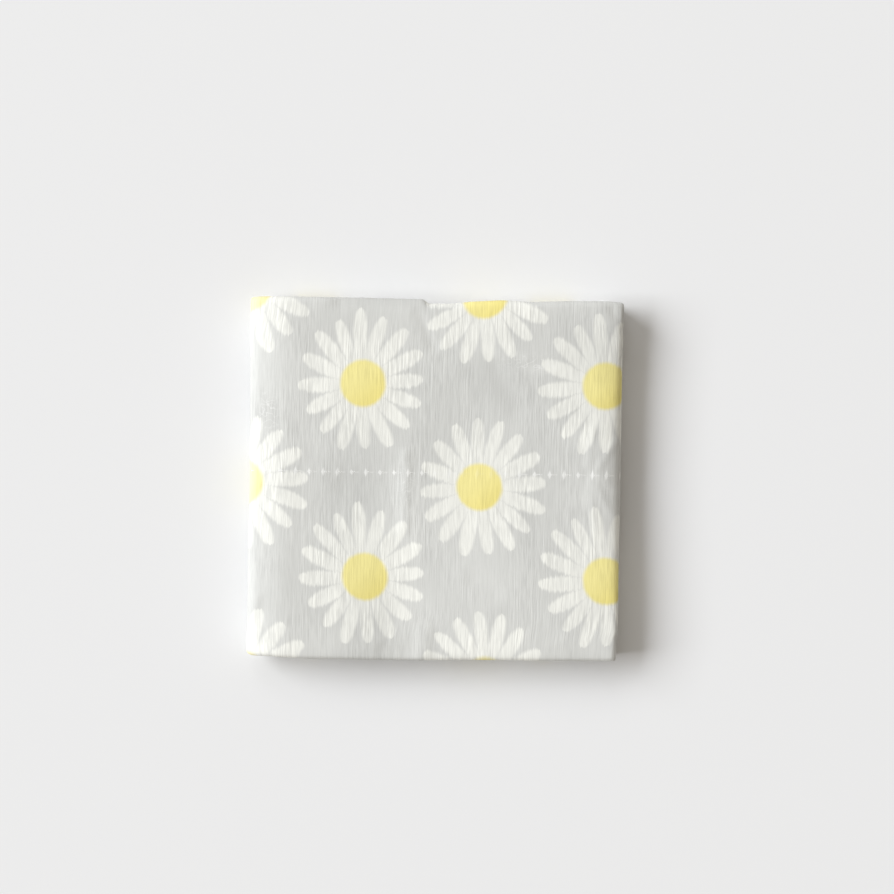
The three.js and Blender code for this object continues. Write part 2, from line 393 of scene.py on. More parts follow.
def settle(x, y, z, acrossCloth):  # from the plain pack to where the cloth really lies
    reach = cloth["edgeReach"]
    x, y, z = squareUp(x, y, z)
    moved = np.stack(np.broadcast_arrays(x, y, z), -1).astype(float)
    wander = softNoise(acrossCloth / foldDrift["wave"], y / halfDepth, foldDrift["seed"])
    moved[..., 1] += readTable(backEdge, x) * smoothStep(y, halfDepth - reach, halfDepth)
    moved[..., 1] -= readTable(frontEdge, x) * smoothStep(-y, halfDepth - reach, halfDepth)
    moved[..., 0] += readTable(rightEdge, y) * smoothStep(x, halfWidth - reach, halfWidth)
    moved[..., 0] -= readTable(leftEdge, y) * smoothStep(-x, halfWidth - reach, halfWidth)
    rise = sum(swell["rise"] * patchAt(swell, x, y) for swell in swells)
    moved[..., 2] = pressEdges(x, y, z) * (1 + rise)
    pastHem = np.clip((underHem - x) / sagReach, 0, 1)
    tilt = np.arctan(2 * cloth["leftSag"] * pastHem / sagReach)
    above = moved[..., 2] - sagHeight
    moved[..., 0] -= above * np.sin(tilt)
    moved[..., 2] = sagHeight + above * np.cos(tilt) - cloth["leftSag"] * pastHem**2
    low = 1 - z / packHeight
    moved[..., 1] *= 1 - cloth["underShrink"] * smoothStep(low, 0.25, 0.6) * (1 + wander)
    turn = math.radians(cloth["underTurn"]) * low
    turnedX = moved[..., 0] * np.cos(turn) - moved[..., 1] * np.sin(turn)
    turnedY = moved[..., 0] * np.sin(turn) + moved[..., 1] * np.cos(turn)
    moved[..., 0], moved[..., 1] = turnedX, turnedY
    return moved


def onCloth(across, along, lift):  # lift is measured from mid-thickness towards the printed side
    across, along, lift = np.broadcast_arrays(across, along, lift)
    layer, layerHeading = pathAt(depthPath, along)
    outer, outerHeading = pathAt(widthPath, across)
    y = layer[..., 0] + np.sin(layerHeading) * lift
    below = layer[..., 1] - np.cos(layerHeading) * lift
    topX = across + placeX
    inTop = smoothStep(topX, *creaseEnds["left"]) * (1 - smoothStep(topX, *creaseEnds["right"]))
    fade = np.exp(-np.maximum(below, 0) / creaseDepth)
    below = below - creaseRise(topX, y) * inTop * fade
    for wave in crinkle:
        u, v = topX / wave["across"] + crinkleStart[0], y / wave["along"] + crinkleStart[1]
        below = below - wave["rise"] * softNoise(u, v, wave["seed"])
    x = outer[..., 0] + np.sin(outerHeading) * below
    z = outer[..., 1] - np.cos(outerHeading) * below
    return settle(x, y, z, topX)


def hemShare(across, along):
    fromEdge = np.minimum(across, cloth["width"] - across)
    fromEdge = np.minimum(fromEdge, np.minimum(along, cloth["depth"] - along))
    within, past = cloth["hemEase"]
    return 1 - smoothStep(fromEdge, cloth["hemWidth"] - within, cloth["hemWidth"] + past)


def meshObject(name, points, faces, materials):
    mesh = bpy.data.meshes.new(name)
    mesh.from_pydata([tuple(p) for p in (points * mm).tolist()], [], faces)
    for material in materials:
        mesh.materials.append(material)
    mesh.polygons.foreach_set("use_smooth", [True] * len(mesh.polygons))
    made = bpy.data.objects.new(name, mesh)
    bpy.context.scene.collection.objects.link(made)
    return made


def setPlace(made, places):  # the cloth's own x and y, in metres, which the print and weave follow
    attribute = made.data.attributes.new("clothPlace", "FLOAT_VECTOR", "POINT")
    pulled = np.array(places, float)
    for pull in pulls:
        away = np.hypot(places[:, 0] - pull["x"], places[:, 1] - pull["y"]) / pull["reach"]
        pulled -= np.exp(-(away**4))[:, None] * (pull["right"], pull["back"])
    flat = np.zeros((len(places), 3), np.float32)
    flat[:, :2] = pulled * mm
    attribute.data.foreach_set("vector", flat.ravel())


def setPatches(made, name, places, rows):
    total = sum(row["share"] * patchAt(row, places[:, 0], places[:, 1]) for row in rows)
    attribute = made.data.attributes.new(name, "FLOAT", "POINT")
    attribute.data.foreach_set("value", total.astype(np.float32))


bakeMap = {  # where the cloth's parts lie on a baked picture, as shares of its height
    "margin": 0.01,
    "back": (0.01, 0.29),
    "printed": (0.3, 0.99),
    "upperRim": (0.9915, 0.9945),
    "lowerRim": (0.9955, 0.9985),
}


def setBakeMap(made, across, along, rim, faces):
    margin, span = bakeMap["margin"], 1 - 2 * bakeMap["margin"]
    columns, rows = np.meshgrid(across / cloth["width"], along / cloth["depth"], indexing="ij")
    columns, rows = margin + span * columns.ravel(), rows.ravel()
    start = margin + span * np.arange(len(rim)) / len(rim)
    end = margin + span * np.arange(1, len(rim) + 1) / len(rim)

    def area(name):
        low, high = bakeMap[name]
        return np.stack((columns, low + (high - low) * rows), 1)

    def strip(name):
        low, high = [np.full(len(rim), level) for level in bakeMap[name]]
        corners = ((start, low), (start, high), (end, high), (end, low))
        return np.stack([np.stack(corner, 1) for corner in corners], 1)

    printed, back = area("printed")[faces["printed"]], area("back")[faces["back"] - len(columns)]
    spots = np.concatenate((printed, back, strip("upperRim"), strip("lowerRim")))
    made.data.uv_layers.new(name="OFBake").data.foreach_set("uv", spots.ravel())


def buildCloth(materials):
    across, along = stationsOf(widthPath), stationsOf(depthPath)
    columns, rows = len(across), len(along)
    total = columns * rows
    gridAcross, gridAlong = np.meshgrid(across, along, indexing="ij")
    lift = thickness / 2 + cloth["hemSwell"] * hemShare(gridAcross, gridAlong)
    printed = onCloth(gridAcross, gridAlong, lift).reshape(-1, 3)
    back = onCloth(gridAcross, gridAlong, -lift).reshape(-1, 3)

    number = np.arange(total).reshape(columns, rows)
    a, b = number[:-1, :-1].ravel(), number[1:, :-1].ravel()
    c, d = number[1:, 1:].ravel(), number[:-1, 1:].ravel()
    printedFaces = np.stack((a, b, c, d), 1)
    backFaces = np.stack((a, d, c, b), 1) + total

    rim = np.concatenate((number[:, 0], number[-1, 1:], number[-2::-1, -1], number[0, -2:0:-1]))
    rimColumn, rimRow = rim // rows, rim % rows
    outAcross = np.where(rimColumn == 0, -1, np.where(rimColumn == columns - 1, 1, 0))
    outAlong = np.where(rimRow == 0, -1, np.where(rimRow == rows - 1, 1, 0))
    noseAcross = across[rimColumn] + cloth["hemNose"] * outAcross
    noseAlong = along[rimRow] + cloth["hemNose"] * outAlong
    nose = onCloth(noseAcross, noseAlong, 0)
    noseNumber = np.arange(len(rim)) + 2 * total
    following = np.roll(rim, -1), np.roll(noseNumber, -1)
    upper = np.stack((rim, noseNumber, following[1], following[0]), 1)
    lower = np.stack((noseNumber, rim + total, following[0] + total, following[1]), 1)

    points = np.concatenate((printed, back, nose))
    cadMiddle = (np.array(cadBounds[0]) + np.array(cadBounds[1])) / 2 / mm
    shift = cadMiddle - (points.min(0) + points.max(0)) / 2
    shift[2] = -points[:, 2].min()
    faces = np.concatenate((printedFaces, backFaces, upper, lower))
    made = meshObject("gauzeCloth", points + shift, faces.tolist(), materials)

    materialOf = np.zeros(len(faces), int)
    materialOf[len(printedFaces) : len(printedFaces) + len(backFaces)] = 1
    made.data.polygons.foreach_set("material_index", materialOf)
    flat = np.stack((gridAcross + placeX, gridAlong + placeY), -1).reshape(-1, 2)
    nosePlace = np.stack((noseAcross + placeX, noseAlong + placeY), -1)
    places = np.concatenate((flat, flat, nosePlace))
    setPlace(made, places)
    setPatches(made, "paintedLightShade", places, paintedLightAndShade)
    setPatches(made, "paintedCrinkleHighlight", places, crinkleHighlightPatches)
    setPatches(made, "clothSmooth", places, smoothed)
    setBakeMap(made, across, along, rim, {"printed": printedFaces, "back": backFaces})
    return made, shift


# Shader helpers

def addNode(tree, kind, **settings):
    node = tree.nodes.new("ShaderNode" + kind)
    for name, value in settings.items():
        setattr(node, name, value)
    return node


def feed(tree, socket, value):
    if isinstance(value, bpy.types.NodeSocket):
        tree.links.new(value, socket)
    else:
        socket.default_value = value


def calculator(tree):
    def calc(operation, *values):
        node = addNode(tree, "Math", operation=operation)
        for socket, value in zip(node.inputs, values):
            feed(tree, socket, value)
        return node.outputs[0]

    return calc


def ramp(tree, value, low, high, start=0.0, end=1.0):
    node = addNode(tree, "MapRange", interpolation_type="SMOOTHSTEP")
    names = ("Value", "From Min", "From Max", "To Min", "To Max")
    for name, given in zip(names, (value, low, high, start, end)):
        feed(tree, node.inputs[name], given)
    return node.outputs["Result"]


def noiseOf(tree, place, across, along, detail, shift):  # waves of the given size in mm
    waves = addNode(tree, "VectorMath", operation="MULTIPLY_ADD")
    feed(tree, waves.inputs[0], place)
    waves.inputs[1].default_value = (1 / across, 1 / along, 0)
    waves.inputs[2].default_value = (shift, shift * 0.7, 0)
    node = addNode(tree, "TexNoise", noise_dimensions="2D")
    feed(tree, node.inputs["Vector"], waves.outputs[0])
    node.inputs["Scale"].default_value = 1
    node.inputs["Detail"].default_value = detail
    return node.outputs["Fac"]


def mixColour(tree, share, first, second):
    node = addNode(tree, "Mix", data_type="RGBA")
    for socket, value in zip((node.inputs[0], node.inputs[6], node.inputs[7]), (share, first, second)):
        feed(tree, socket, value)
    return node.outputs[2]


def newGroup(name, inputs, outputs):  # an input without a value takes a place
    group = bpy.data.node_groups.new(name, "ShaderNodeTree")
    for label, value in inputs.items():
        kind = "NodeSocketVector" if value is None else "NodeSocketFloat"
        socket = group.interface.new_socket(label, in_out="INPUT", socket_type=kind)
        if value is not None:
            socket.default_value = value
    for label in outputs:
        group.interface.new_socket(label, in_out="OUTPUT", socket_type="NodeSocketFloat")
    return group, group.nodes.new("NodeGroupInput"), group.nodes.new("NodeGroupOutput")


def scatter(calc, value, stretch):  # a share from 0 to 1 that jumps about as the value steps
    return calc("FRACT", calc("MULTIPLY", calc("SINE", value), stretch))


def splitPlace(tree, place):
    split = addNode(tree, "SeparateXYZ")
    feed(tree, split.inputs[0], place)
    return split.outputs["X"], split.outputs["Y"]


def scaled(tree, value, scale):
    node = addNode(tree, "VectorMath", operation="SCALE")
    feed(tree, node.inputs[0], value)
    feed(tree, node.inputs["Scale"], scale)
    return node.outputs[0]


def inMillimetres(tree, place):
    return scaled(tree, place, 1000)


def setBump(tree, shader, height):
    bump = addNode(tree, "Bump")
    bump.inputs["Distance"].default_value = gauze["bump"] * mm
    feed(tree, bump.inputs["Height"], height)
    feed(tree, shader.inputs["Normal"], bump.outputs[0])


# The gauze: fine ribs that run along the cloth, with slubs, over a plain open weave

gauze = {
    "threadSpacing": 0.36,
    "weave": 0.04,  # how much the plain weave lifts and lightens
    "weftWander": 0.6,
    "patches": (0.55, 1.15),  # the gauze is plainer in some patches than in others
    "ribStrength": (0.4, 1.0),  # and its ribs are weaker in some places
    "bump": 0.05,  # depth of the ribs and threads
    "middleTone": 0.75,  # the tone that leaves a colour as it is
}

# Waves of the gauze: their size across and along the ribs, and how much they lift and lighten
gauzeWaves = {
    "rib": {"across": 0.62, "along": 34, "lift": 0.44, "light": 0.42, "shift": 4},
    "streak": {"across": 0.31, "along": 5.5, "lift": 0.7, "light": 0.5, "shift": 9},
    "slub": {"across": 0.62, "along": 4, "lift": 0.4, "light": 0.17, "shift": 12},
    "coarse": {"across": 1.5, "along": 14, "lift": 0.05, "light": 0.05, "shift": 2},
    "weft": {"across": 4, "along": 0.55, "lift": 0.14, "light": 0, "shift": 15},
}


def gauzeWeaveGroup():
    inputs = {"Place": None, "Thread Spacing": gauze["threadSpacing"]}
    group, given, result = newGroup("gauzeWeave", inputs, ("Height", "Tone"))
    calc = calculator(group)
    place = inMillimetres(group, given.outputs["Place"])
    x, y = splitPlace(group, place)
    wave = {
        name: noiseOf(group, place, row["across"], row["along"], 1, row["shift"])
        for name, row in gauzeWaves.items()
    }
    strength = ramp(group, noiseOf(group, place, 2.6, 12, 1, 4), 0.3, 0.7, *gauze["ribStrength"])
    wave["rib"] = calc("MULTIPLY", ramp(group, wave["rib"], 0.3, 0.7), strength)
    patchy = ramp(group, noiseOf(group, place, 11, 16, 1, 18), 0.3, 0.7, *gauze["patches"])

    spacing = given.outputs["Thread Spacing"]
    warp = calc("SINE", calc("MULTIPLY", calc("DIVIDE", x, spacing), 2 * math.pi))
    weftWander = calc("SUBTRACT", noiseOf(group, place, 9, 3, 1, 6), 0.5)
    weft = calc("DIVIDE", calc("MULTIPLY_ADD", weftWander, gauze["weftWander"], y), spacing)
    weft = calc("SINE", calc("MULTIPLY", weft, 2.3 * math.pi))
    weave = calc("MULTIPLY", warp, weft)

    height = 0.0
    for name, row in gauzeWaves.items():
        height = calc("MULTIPLY_ADD", wave[name], row["lift"], height)
    height = calc("MULTIPLY_ADD", weave, gauze["weave"], calc("MULTIPLY", height, patchy))
    feed(group, result.inputs["Height"], height)

    wave["streak"] = ramp(group, wave["streak"], 0.32, 0.6)
    wave["slub"] = ramp(group, wave["slub"], 0.3, 0.6)
    light = -gauze["middleTone"]
    for name, row in gauzeWaves.items():
        light = calc("MULTIPLY_ADD", wave[name], row["light"], light)
    light = calc("MULTIPLY_ADD", light, patchy, gauze["middleTone"])
    light = calc("MULTIPLY_ADD", weave, gauze["weave"], light)
    feed(group, result.inputs["Tone"], light)
    return group


# The print: open daisies in staggered rows, unprinted petals on a grey ground

daisies = {
    "spacing": (64.5, 52.1),
    "first": (-18.14, 26.05),
    "second": (13.65, -1.9),
    "petals": 16,
    "petalReach": 17.25,
    "petalRoot": 1.0,
    "petalWidth": 3.65,
    "reachSpread": 1.5,  # how much the longest and shortest petals differ
    "widthSpread": 0.3,
    "widestAt": 0.62,  # share of the petal's length
    "tipCurve": (2.9, 0.5),  # how full and how blunt the tip is
    "tall": 1.10,  # the cloth is stretched a little along its ribs
    "disc": 6.1,
    "discTall": 1.03,
    "frayX": 0.4,  # how far the threads carry the print's edges
    "frayY": 1.3,
    "leanX": 0.014,  # the print isn't quite square to the cloth
    "leanY": 0.007,
    "firstTurn": 3.6,  # each kind of daisy is turned a little, in degrees
    "secondTurn": 5.0,
    "columnTurn": 1.2,  # and more from one column of the first kind to the next
    "rowTurn": -1.2,  # or from one row of the second kind to the next
    "firstLean": -0.4,  # the petals stand a little off the disc's middle
    "secondLean": 0.35,
    "sway": 0.012,  # and aren't quite evenly spread
    "bow": 1.2,  # the print's columns bow over the middle of the pack
    "bowReach": 52,
}


def daisyPrintGroup():
    inputs = {"Place": None, "Petal Reach": daisies["petalReach"], "Disc Radius": daisies["disc"]}
    group, given, result = newGroup("daisyPrint", inputs, ("Petals", "Disc", "Disc Shade"))
    calc = calculator(group)
    place = inMillimetres(group, given.outputs["Place"])
    x, y = splitPlace(group, place)
    frayX = calc("SUBTRACT", noiseOf(group, place, 0.8, 3.2, 1, 3), 0.5)
    frayX = calc("MULTIPLY", frayX, daisies["frayX"])
    frayY = calc("SUBTRACT", noiseOf(group, place, 0.45, 6, 1, 5), 0.5)
    frayY = calc("MULTIPLY", frayY, daisies["frayY"])
    x, y = calc("ADD", x, frayX), calc("ADD", y, frayY)

    bowShare = calc("POWER", calc("DIVIDE", calc("ABSOLUTE", y), daisies["bowReach"]), 2)
    bow = calc("MAXIMUM", calc("SUBTRACT", 1, bowShare), 0)
    printX = calc("MULTIPLY_ADD", y, daisies["leanX"], x)
    printX = calc("MULTIPLY_ADD", bow, daisies["bow"], printX)
    printY = calc("MULTIPLY_ADD", x, daisies["leanY"], y)
    wideX, wideY = daisies["spacing"]

    def distance(across, along):
        squares = calc("ADD", calc("MULTIPLY", across, across), calc("MULTIPLY", along, along))
        return calc("SQRT", squares)

    def aboutNearest(value, middle, spacing):
        return calc("WRAP", calc("SUBTRACT", value, middle), spacing / 2, -spacing / 2)

    def numberOf(value, middle, spacing):
        return calc("ROUND", calc("DIVIDE", calc("SUBTRACT", value, middle), spacing))

    def fromNearest(middle):  # place about the nearest daisy of one kind
        offY = calc("DIVIDE", aboutNearest(printY, middle[1], wideY), daisies["tall"])
        return aboutNearest(printX, middle[0], wideX), offY

    firstX, firstY = fromNearest(daisies["first"])
    secondX, secondY = fromNearest(daisies["second"])
    column = numberOf(printX, daisies["first"][0], wideX)
    row = numberOf(printY, daisies["second"][1], wideY)
    firstTurn = calc("MULTIPLY_ADD", column, daisies["columnTurn"], daisies["firstTurn"])
    secondTurn = calc("MULTIPLY_ADD", row, daisies["rowTurn"], daisies["secondTurn"])
    isSecond = calc("LESS_THAN", distance(secondX, secondY), distance(firstX, firstY))
    isFirst = calc("SUBTRACT", 1, isSecond)

    def choose(first, second):
        return calc("MULTIPLY_ADD", second, isSecond, calc("MULTIPLY", first, isFirst))

    offX, offY = choose(firstX, secondX), choose(firstY, secondY)
    petalX = calc("SUBTRACT", offX, choose(daisies["firstLean"], daisies["secondLean"]))
    away = distance(petalX, offY)
    angle = calc("ARCTAN2", offY, petalX)
    sway = calc("SINE", calc("MULTIPLY_ADD", isSecond, 2.1, calc("MULTIPLY", angle, 3)))
    angle = calc("MULTIPLY_ADD", sway, daisies["sway"], angle)
    onePetal = 2 * math.pi / daisies["petals"]
    turns = calc("MULTIPLY_ADD", choose(firstTurn, secondTurn), -math.pi / 180, angle)
    turns = calc("DIVIDE", turns, onePetal)
    petalNumber = calc("ROUND", turns)
    sideways = calc("MULTIPLY", calc("SUBTRACT", turns, petalNumber), onePetal)
    sideways = calc("MULTIPLY", sideways, away)
    chance = scatter(calc, calc("MULTIPLY_ADD", isSecond, 5.3, petalNumber), 43.7)
    shortest = calc("SUBTRACT", given.outputs["Petal Reach"], daisies["reachSpread"] / 2)
    reach = calc("MULTIPLY_ADD", chance, daisies["reachSpread"], shortest)

    root, widest, (full, blunt) = daisies["petalRoot"], daisies["widestAt"], daisies["tipCurve"]
    along = calc("DIVIDE", calc("SUBTRACT", away, root), calc("SUBTRACT", reach, root))
    along = calc("MINIMUM", calc("MAXIMUM", along, 0), 1)
    opening = calc("MULTIPLY", calc("MINIMUM", calc("DIVIDE", along, widest), 1), math.pi / 2)
    opening = calc("POWER", calc("SINE", opening), 0.8)
    closing = calc("MAXIMUM", calc("DIVIDE", calc("SUBTRACT", along, widest), 1 - widest), 0)
    closing = calc("POWER", calc("SUBTRACT", 1, calc("POWER", closing, full)), blunt)
    narrowest = daisies["petalWidth"] - daisies["widthSpread"] / 2
    width = calc("MULTIPLY_ADD", chance, daisies["widthSpread"], narrowest)
    halfPetal = calc("MULTIPLY", calc("MULTIPLY", opening, closing), calc("MULTIPLY", width, 0.5))
    inside = calc("SUBTRACT", halfPetal, calc("ABSOLUTE", sideways))
    petals = ramp(group, inside, -0.52, 0.56)
    petals = calc("MULTIPLY", petals, ramp(group, calc("SUBTRACT", reach, away), -0.1, 0.4))
    feed(group, result.inputs["Petals"], petals)

    discY = calc("MULTIPLY", offY, daisies["tall"] / daisies["discTall"])
    discY = calc("MULTIPLY_ADD", frayY, -0.7, discY)  # the disc's edge is less frayed
    discInside = calc("SUBTRACT", given.outputs["Disc Radius"], distance(offX, discY))
    feed(group, result.inputs["Disc"], ramp(group, discInside, -0.75, 0.65))
    lean = calc("SUBTRACT", calc("MULTIPLY", offX, 0.6), calc("MULTIPLY", offY, 0.8))
    feed(group, result.inputs["Disc Shade"], ramp(group, lean, -3, 8))
    return group


# The seam's needle marks: each stitch lifts a short pale tick across the seam, painted as a highlight on
# the puckered ribs, and leaves a short pale dash of thread

stitching = {
    "seamPitch": 3.83,
    "seamLength": 1.9,
    "hemPitch": 3.4,
    "hemLength": 2.1,
    "hemInset": 5.6,
    "firstMark": 0.35,
    "threadRadius": 0.12,
    "steps": 8,
    "sides": 6,
    "sunk": 0.1,  # how deep a stitch's ends lie in the cloth
    "hump": 0.05,  # and how far its middle rises above them
    "tightSink": 0.12,  # between these the thread is pulled tight and lies deeper
    "tightFrom": -1.5,
    "tightTo": 27.5,
    "uneven": {"place": 0.12, "line": 0.06, "tilt": 0.05, "length": (0.88, 1.1)},
    "twist": 0.34,  # length of one turn of the thread
    "pucker": 0.4,  # as shares of the bump
    "markRise": 0.15,
    "highlightAndThreadShare": 0.95,  # how pale a mark is on the ground: painted highlight in the tick, thread colour in the dash
    "markLost": 0.85,  # and how much of that is lost on the print
}


def seamMarkGroup():
    inputs = {"Place": None, "Pitch": stitching["seamPitch"]}
    group, given, result = newGroup("seamMark", inputs, ("Mark", "Height"))
    calc = calculator(group)
    x, y = splitPlace(group, inMillimetres(group, given.outputs["Place"]))
    pitch = given.outputs["Pitch"]
    behindSeam = calc("SUBTRACT", y, cloth["seamAt"])
    fromSeam = calc("ABSOLUTE", behindSeam)
    turns = calc("DIVIDE", calc("SUBTRACT", x, stitching["firstMark"]), pitch)
    number = calc("ROUND", turns)
    chance = scatter(calc, calc("MULTIPLY", number, 7.7), 31.3)
    lean = calc("MULTIPLY", behindSeam, calc("MULTIPLY_ADD", chance, 0.2, -0.1))
    sideways = calc("MULTIPLY", calc("SUBTRACT", turns, number), pitch)
    sideways = calc("ABSOLUTE", calc("SUBTRACT", sideways, lean))
    tall = calc("MULTIPLY_ADD", chance, 0.8, 0.7)
    slim = calc("MULTIPLY", calc("SUBTRACT", 1, calc("DIVIDE", fromSeam, tall)), 0.5)
    # the tick is a painted highlight on the puckered ribs
    tickHighlight = ramp(group, calc("SUBTRACT", slim, sideways), -0.22, 0.22)
    afterMark = calc("MULTIPLY", calc("WRAP", turns, 1, 0), pitch)
    dash = ramp(group, afterMark, 1.7, 2.3, 1.0, 0.0)
    dash = calc("MULTIPLY", dash, ramp(group, fromSeam, 0.08, 0.3, 0.4, 0.0))
    feed(group, result.inputs["Mark"], calc("MAXIMUM", tickHighlight, dash))
    pucker = calc("COSINE", calc("MULTIPLY", turns, 2 * math.pi))
    pucker = calc("MULTIPLY", ramp(group, fromSeam, 0.3, 3.2, 1.0, 0.0), pucker)
    feed(group, result.inputs["Height"], pucker)
    return group


groups = {"weave": gauzeWeaveGroup(), "daisies": daisyPrintGroup(), "seam": seamMarkGroup()}


def useGroup(tree, name, place):
    node = tree.nodes.new("ShaderNodeGroup")
    node.node_tree = groups[name]
    feed(tree, node.inputs["Place"], place)
    return node.outputs


def startMaterial(name):
    material = bpy.data.materials.new(name)
    material.use_nodes = True
    tree = material.node_tree
    tree.nodes.clear()
    shader = addNode(tree, "BsdfPrincipled")
    output = addNode(tree, "OutputMaterial")
    tree.links.new(shader.outputs[0], output.inputs["Surface"])
    return material, tree, shader


printColours = {
    "ground": (0.694, 0.696, 0.666, 1),
    "groundDark": (0.650, 0.652, 0.623, 1),
    "petal": (0.914, 0.912, 0.850, 1),
    "disc": (0.935, 0.840, 0.350, 1),
    "discDark": (0.885, 0.768, 0.255, 1),
    "thread": (0.90, 0.90, 0.87, 1),
    "backGround": (0.76, 0.765, 0.745, 1),
    "showThrough": 0.45,  # how much of the print shows on the back
    # how pale the painted crinkle highlights get
    "crinkleHighlightShare": 0.6,
    "discHighlightShare": 0.38,  # painted highlight: the discs are paler over the brightly lit left fold
    "shadeShare": 0.18,  # how much darker the valleys between the ribs are
    "valleyShare": 0.36,  # how much of the ground colour shows in the petals' valleys
}


def gauzeMaterial(name, isPrinted):
    material, tree, shader = startMaterial(name)
    calc = calculator(tree)
    place = addNode(tree, "Attribute", attribute_name="clothPlace").outputs["Vector"]
    weave, flowers = useGroup(tree, "weave", place), useGroup(tree, "daisies", place)
    seam = useGroup(tree, "seam", place)
    placeMm = inMillimetres(tree, place)
    mottle = ramp(tree, noiseOf(tree, placeMm, 16, 22, 2, 7.0), 0.25, 0.75)

    ground = mixColour(tree, mottle, printColours["groundDark"], printColours["ground"])
    valley = ramp(tree, weave["Tone"], 0.35, 1.05, printColours["valleyShare"], 0.0)
    petalShare = calc("MULTIPLY", flowers["Petals"], calc("SUBTRACT", 1, valley))
    colour = mixColour(tree, petalShare, ground, printColours["petal"])
    disc = mixColour(tree, flowers["Disc Shade"], printColours["disc"], printColours["discDark"])
    # painted highlight on the discs over the brightly lit left fold
    discHighlight = ramp(tree, splitPlace(tree, placeMm)[0], -50, -43, printColours["discHighlightShare"], 0.0)
    disc = mixColour(tree, discHighlight, disc, printColours["petal"])
    colour = mixColour(tree, flowers["Disc"], colour, disc)
    if not isPrinted:  # the print only shows through
        colour = mixColour(tree, printColours["showThrough"], printColours["backGround"], colour)
    printed = calc("MAXIMUM", flowers["Disc"], calc("MULTIPLY", flowers["Petals"], 0.5))
    # the seam's marks: painted highlight in the ticks and pale thread in the dashes
    highlightAndThreadShare = calc("MULTIPLY_ADD", printed, -stitching["markLost"], stitching["highlightAndThreadShare"])
    highlightAndThread = calc("MULTIPLY", seam["Mark"], highlightAndThreadShare)
    colour = mixColour(tree, highlightAndThread, colour, printColours["thread"])
    ribbed = calc("SUBTRACT", 1, addNode(tree, "Attribute", attribute_name="clothSmooth").outputs["Fac"])
    tone = calc("MULTIPLY", calc("SUBTRACT", weave["Tone"], gauze["middleTone"]), ribbed)
    darker = calc("MULTIPLY_ADD", tone, printColours["shadeShare"], 1)
    # painted highlights: thin pale lines where fine crinkles catch the light
    crinkleHighlights = addNode(tree, "Attribute", attribute_name="paintedCrinkleHighlight").outputs["Fac"]
    wander = calc("ABSOLUTE", calc("SUBTRACT", noiseOf(tree, placeMm, 2.4, 2.0, 1, 11.0), 0.5))
    wander = ramp(tree, wander, 0.0, 0.045, printColours["crinkleHighlightShare"], 0.0)
    crinkleHighlights = calc("MULTIPLY", crinkleHighlights, wander)
    colour = mixColour(tree, crinkleHighlights, colour, printColours["thread"])
    # painted light and shade: the cloth's colour is made lighter or darker patch by patch
    fade = addNode(tree, "Attribute", attribute_name="paintedLightShade").outputs["Fac"]
    darker = calc("MULTIPLY", darker, calc("ADD", 1, fade))
    feed(tree, shader.inputs["Base Color"], scaled(tree, colour, darker))

    feed(tree, shader.inputs["Roughness"], ramp(tree, weave["Tone"], 0.2, 1.2, 0.97, 0.86))
    shader.inputs["Specular IOR Level"].default_value = 0.25
    shader.inputs["Sheen Weight"].default_value = 0.12
    shader.inputs["Sheen Roughness"].default_value = 0.5

    height = calc("MULTIPLY_ADD", seam["Height"], stitching["pucker"], weave["Height"])
    height = calc("MULTIPLY_ADD", seam["Mark"], stitching["markRise"], height)
    setBump(tree, shader, calc("MULTIPLY", height, ribbed))
    return material


def threadMaterial():
    material, tree, shader = startMaterial("sewingThread")
    calc = calculator(tree)
    place = addNode(tree, "Attribute", attribute_name="clothPlace").outputs["Vector"]
    placeMm = inMillimetres(tree, place)
    x, y = splitPlace(tree, placeMm)
    slant = calc("MULTIPLY", calc("MULTIPLY_ADD", y, 1.6, x), 2 * math.pi / stitching["twist"])
    twist = calc("MULTIPLY_ADD", calc("SINE", slant), 0.5, 0.5)
    fuzz = noiseOf(tree, placeMm, 0.12, 0.12, 2, 1.0)
    shade = calc("MULTIPLY_ADD", twist, 0.10, calc("MULTIPLY_ADD", fuzz, 0.08, 0.86))
    feed(tree, shader.inputs["Base Color"], scaled(tree, printColours["thread"][:3], shade))
    feed(tree, shader.inputs["Roughness"], ramp(tree, fuzz, 0.2, 0.8, 0.6, 0.85))
    shader.inputs["Sheen Weight"].default_value = 0.2
    setBump(tree, shader, calc("MULTIPLY_ADD", fuzz, 0.3, twist))
    return material


materials = {
    "printed": gauzeMaterial("printedGauze", True),
    "back": gauzeMaterial("gauzeBack", False),
    "thread": threadMaterial(),
}
print("materials made:", ", ".join(material.name for material in materials.values()))

sheet, clothShift = buildCloth([materials["printed"], materials["back"]])
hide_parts("cloth")
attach(sheet, "root")
print("cloth made:", len(sheet.data.polygons), "faces")


# Stitches: short lengths of thread that rise out of the cloth and dive back into it

